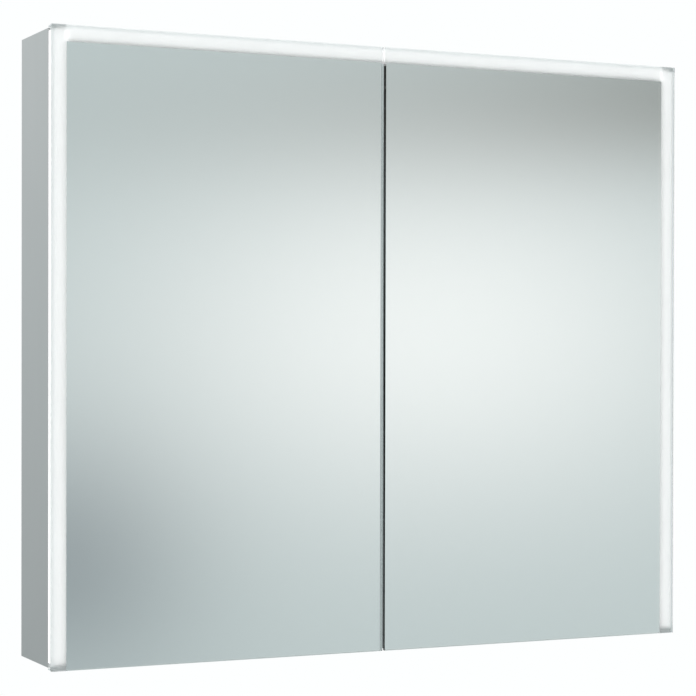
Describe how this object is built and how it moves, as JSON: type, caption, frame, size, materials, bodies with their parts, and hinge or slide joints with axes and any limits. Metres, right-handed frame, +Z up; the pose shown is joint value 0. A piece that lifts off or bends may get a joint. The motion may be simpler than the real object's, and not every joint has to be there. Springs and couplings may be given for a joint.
{
  "type": "mirror cabinet",
  "caption": "Wall-hung bathroom mirror cabinet with two frameless mirror doors, a lit frosted border, glass shelves, a shaver socket and a rocker switch.",
  "frame": {"origin": "middle of the back face, on the wall", "axes": "+X to the right and +Z up as seen by someone in front of the cabinet; +Y into the wall, so the doors face -Y"},
  "size_m": [0.8, 0.12, 0.7],
  "materials": {
    "satin_aluminium": "satin anodised",
    "opal_acrylic": "opal, lit from inside",
    "led_circuit": "white circuit strip",
    "door_mirror": "silvered glass with a frosted border and polished edges",
    "rear_mirror": "silvered glass",
    "stainless_steel": "brushed",
    "white_steel": "white coated",
    "white_plastic": "semi-gloss",
    "grey_plastic": "matt",
    "white_sheet": "powder coated",
    "white_composite": "coated composite sheet",
    "clear_glass": "clear with polished edges",
    "clear_rubber": "soft clear silicone"
  },
  "bodies": {
    "cabinet": {"back_mirror": "rear_mirror", "back_panel": "white_composite", "back_rail": "white_sheet", "bottom_panel": "satin_aluminium", "diffuser_left": "opal_acrylic", "diffuser_right": "opal_acrylic", "diffuser_top": "opal_acrylic", "door_bumper_left": "clear_rubber", "door_bumper_right": "clear_rubber", "electrics_housing": "white_sheet", "glass_shelf_lower": "clear_glass", "glass_shelf_upper": "clear_glass", "hanger_hook_left": "stainless_steel", "hanger_hook_right": "stainless_steel", "led_driver": "grey_plastic", "led_strip_left": "led_circuit", "led_strip_right": "led_circuit", "led_strip_top": "led_circuit", "light_channel_left": "satin_aluminium", "light_channel_right": "satin_aluminium", "light_channel_top": "satin_aluminium", "lower_pivot_bracket_left": "white_steel", "lower_pivot_bracket_right": "white_steel", "lower_pivot_pin_left": "stainless_steel", "lower_pivot_pin_right": "stainless_steel", "magnetic_catch_left": "white_plastic", "magnetic_catch_right": "white_plastic", "shaver_socket_insert": "white_plastic", "shelf_support_lower_left_front": "stainless_steel", "shelf_support_lower_left_rear": "stainless_steel", "shelf_support_lower_right_front": "stainless_steel", "shelf_support_lower_right_rear": "stainless_steel", "shelf_support_upper_left_front": "stainless_steel", "shelf_support_upper_left_rear": "stainless_steel", "shelf_support_upper_right_front": "stainless_steel", "shelf_support_upper_right_rear": "stainless_steel", "side_panel_left": "satin_aluminium", "side_panel_right": "satin_aluminium", "supply_cable_gland": "grey_plastic", "switch_bezel": "white_plastic", "terminal_block": "white_plastic", "top_panel": "satin_aluminium", "upper_pivot_bracket_left": "white_steel", "upper_pivot_bracket_right": "white_steel", "upper_pivot_pin_left": "stainless_steel", "upper_pivot_pin_right": "stainless_steel", "wall_hanger_left": "white_plastic", "wall_hanger_right": "white_plastic"},
    "door_left": {"door_glass_left": "door_mirror", "door_rear_mirror_left": "rear_mirror", "strike_plate_left": "stainless_steel", "upper_pivot_shoe_left": "white_steel", "lower_pivot_shoe_left": "white_steel"},
    "door_right": {"door_glass_right": "door_mirror", "door_rear_mirror_right": "rear_mirror", "strike_plate_right": "stainless_steel", "upper_pivot_shoe_right": "white_steel", "lower_pivot_shoe_right": "white_steel"},
    "rocker": {"rocker_switch": "white_plastic"}
  },
  "joints": [
    {"name": "door_left_hinge", "type": "hinge", "parent": "cabinet", "child": "door_left", "pos_m": [-0.3945, -0.1095, 0], "axis": [0, 0, -1], "range_deg": [0, 105]},
    {"name": "door_right_hinge", "type": "hinge", "parent": "cabinet", "child": "door_right", "pos_m": [0.3945, -0.1095, 0], "axis": [0, 0, 1], "range_deg": [0, 105]},
    {"name": "rocker_switch_tilt", "type": "hinge", "parent": "cabinet", "child": "rocker", "pos_m": [0.255, -0.0785, 0.2975], "axis": [-1, 0, 0], "range_deg": [0, 14]}
  ]
}
